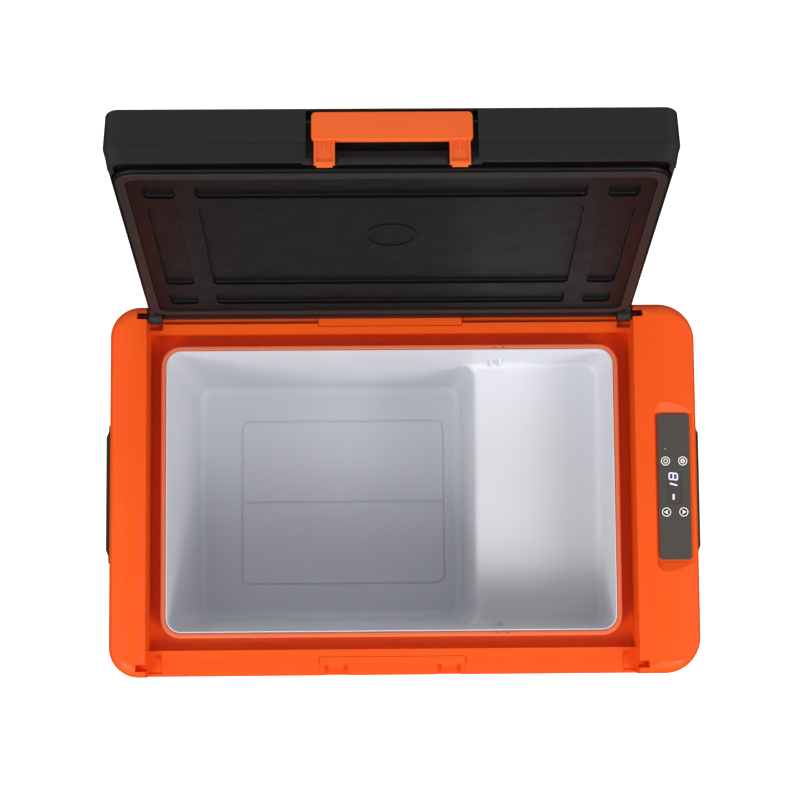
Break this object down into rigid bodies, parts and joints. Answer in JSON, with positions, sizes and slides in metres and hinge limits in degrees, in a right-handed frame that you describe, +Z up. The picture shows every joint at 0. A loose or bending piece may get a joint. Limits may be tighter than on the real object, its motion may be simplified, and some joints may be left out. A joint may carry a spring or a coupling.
{
  "type": "compressor cooler fridge",
  "caption": "Portable compressor cooler fridge with end rails, a top control panel, bail handles and a lift-off latched lid standing open.",
  "frame": {"origin": "middle of the base footprint on the ground, under the four rubber feet", "axes": "+Z up, -Y the latch side of the closed lid, +X the end with the controls"},
  "size_m": [0.6006, 0.4832, 0.6767],
  "materials": {
    "case_orange": "fine-grained moulded ABS, semi-gloss",
    "latch_orange": "semi-gloss moulded plastic",
    "lid_black": "fine-textured moulded plastic",
    "panel_black": "fine-textured moulded inner panel",
    "trim_black": "textured plastic",
    "liner_white": "smooth food-grade plastic",
    "seal_salmon": "soft translucent seal over the orange frame",
    "gasket_rubber": "soft matte seal",
    "foot_rubber": "matte",
    "foam": "rigid polyurethane foam",
    "steel": "bright",
    "compressor_black": "gloss black enamel",
    "aluminium": "satin",
    "copper": "drawn copper pipe",
    "control_grey": "satin dark grey",
    "display_black": "smoked display window",
    "key_grey": "satin",
    "lamp": "clear light guide",
    "board_green": "circuit board",
    "case_grey": "moulded base"
  },
  "bodies": {
    "cabinet": {"top_frame": "case_orange", "keeper_front": "latch_orange", "keeper_rear": "latch_orange", "inner_liner": "liner_white", "mouth_seal": "seal_salmon", "evaporator_plate": "aluminium", "outer_case": "case_orange", "body_insulation": "foam", "bay_panel": "case_grey", "base_tray": "case_grey", "foot_front_left": "foot_rubber", "foot_front_right": "foot_rubber", "foot_rear_left": "foot_rubber", "foot_rear_right": "foot_rubber", "vent_end": "trim_black", "vent_front": "trim_black", "power_socket": "trim_black", "compressor": "compressor_black", "compressor_base": "steel", "grommet_1": "foot_rubber", "grommet_2": "foot_rubber", "grommet_3": "foot_rubber", "grommet_4": "foot_rubber", "condenser": "aluminium", "fan_frame": "trim_black", "discharge_pipe": "copper", "suction_pipe": "copper", "filter_drier": "copper", "power_module": "aluminium", "control_panel": "control_grey", "display_module": "display_black", "control_board": "board_green", "light_run": "lamp", "light_fault": "lamp", "handle_base_left": "trim_black", "handle_base_right": "trim_black", "handle_pin_left_front": "steel", "handle_pin_left_rear": "steel", "handle_pin_right_front": "steel", "handle_pin_right_rear": "steel"},
    "lid": {"lid_cover": "lid_black", "lid_inner_panel": "panel_black", "lid_gasket": "gasket_rubber", "lid_insulation": "foam", "hinge_pin_left": "trim_black", "hinge_pin_right": "trim_black", "latch_pin_left": "steel", "latch_pin_right": "steel", "latch_spring": "steel"},
    "latch_body": {"latch": "latch_orange"},
    "handle_left_body": {"handle_left": "trim_black"},
    "handle_right_body": {"handle_right": "trim_black"},
    "fan_body": {"fan_rotor": "trim_black"},
    "power_key": {"button_power": "key_grey"},
    "set_key": {"button_set": "key_grey"},
    "up_key": {"button_up": "key_grey"},
    "down_key": {"button_down": "key_grey"}
  },
  "joints": [
    {"name": "lid_hinge", "type": "hinge", "parent": "cabinet", "child": "lid", "pos_m": [0, 0.173, 0.3265], "axis": [1, 0, 0], "range_deg": [0, 104.5]},
    {"name": "latch_pivot", "type": "hinge", "parent": "lid", "child": "latch_body", "pos_m": [-0.01235, 0.28733, 0.65876], "axis": [-1, 0, 0], "range_deg": [-4, 30], "stiffness_Nm_per_rad": 0.05},
    {"name": "handle_left_swing", "type": "hinge", "parent": "cabinet", "child": "handle_left_body", "pos_m": [-0.2958, 0, 0.262], "axis": [0, 1, 0], "range_deg": [0, 90]},
    {"name": "handle_right_swing", "type": "hinge", "parent": "cabinet", "child": "handle_right_body", "pos_m": [0.2958, 0, 0.262], "axis": [0, -1, 0], "range_deg": [0, 90]},
    {"name": "fan_spin", "type": "hinge", "parent": "cabinet", "child": "fan_body", "pos_m": [0.2685, -0.095, 0.105], "axis": [1, 0, 0], "continuous": true},
    {"name": "power_press", "type": "slide", "parent": "cabinet", "child": "power_key", "axis": [0, 0, -1], "range_m": [0, 0.0005], "stiffness_N_per_m": 400},
    {"name": "set_press", "type": "slide", "parent": "cabinet", "child": "set_key", "axis": [0, 0, -1], "range_m": [0, 0.0005], "stiffness_N_per_m": 400},
    {"name": "up_press", "type": "slide", "parent": "cabinet", "child": "up_key", "axis": [0, 0, -1], "range_m": [0, 0.0005], "stiffness_N_per_m": 400},
    {"name": "down_press", "type": "slide", "parent": "cabinet", "child": "down_key", "axis": [0, 0, -1], "range_m": [0, 0.0005], "stiffness_N_per_m": 400}
  ]
}
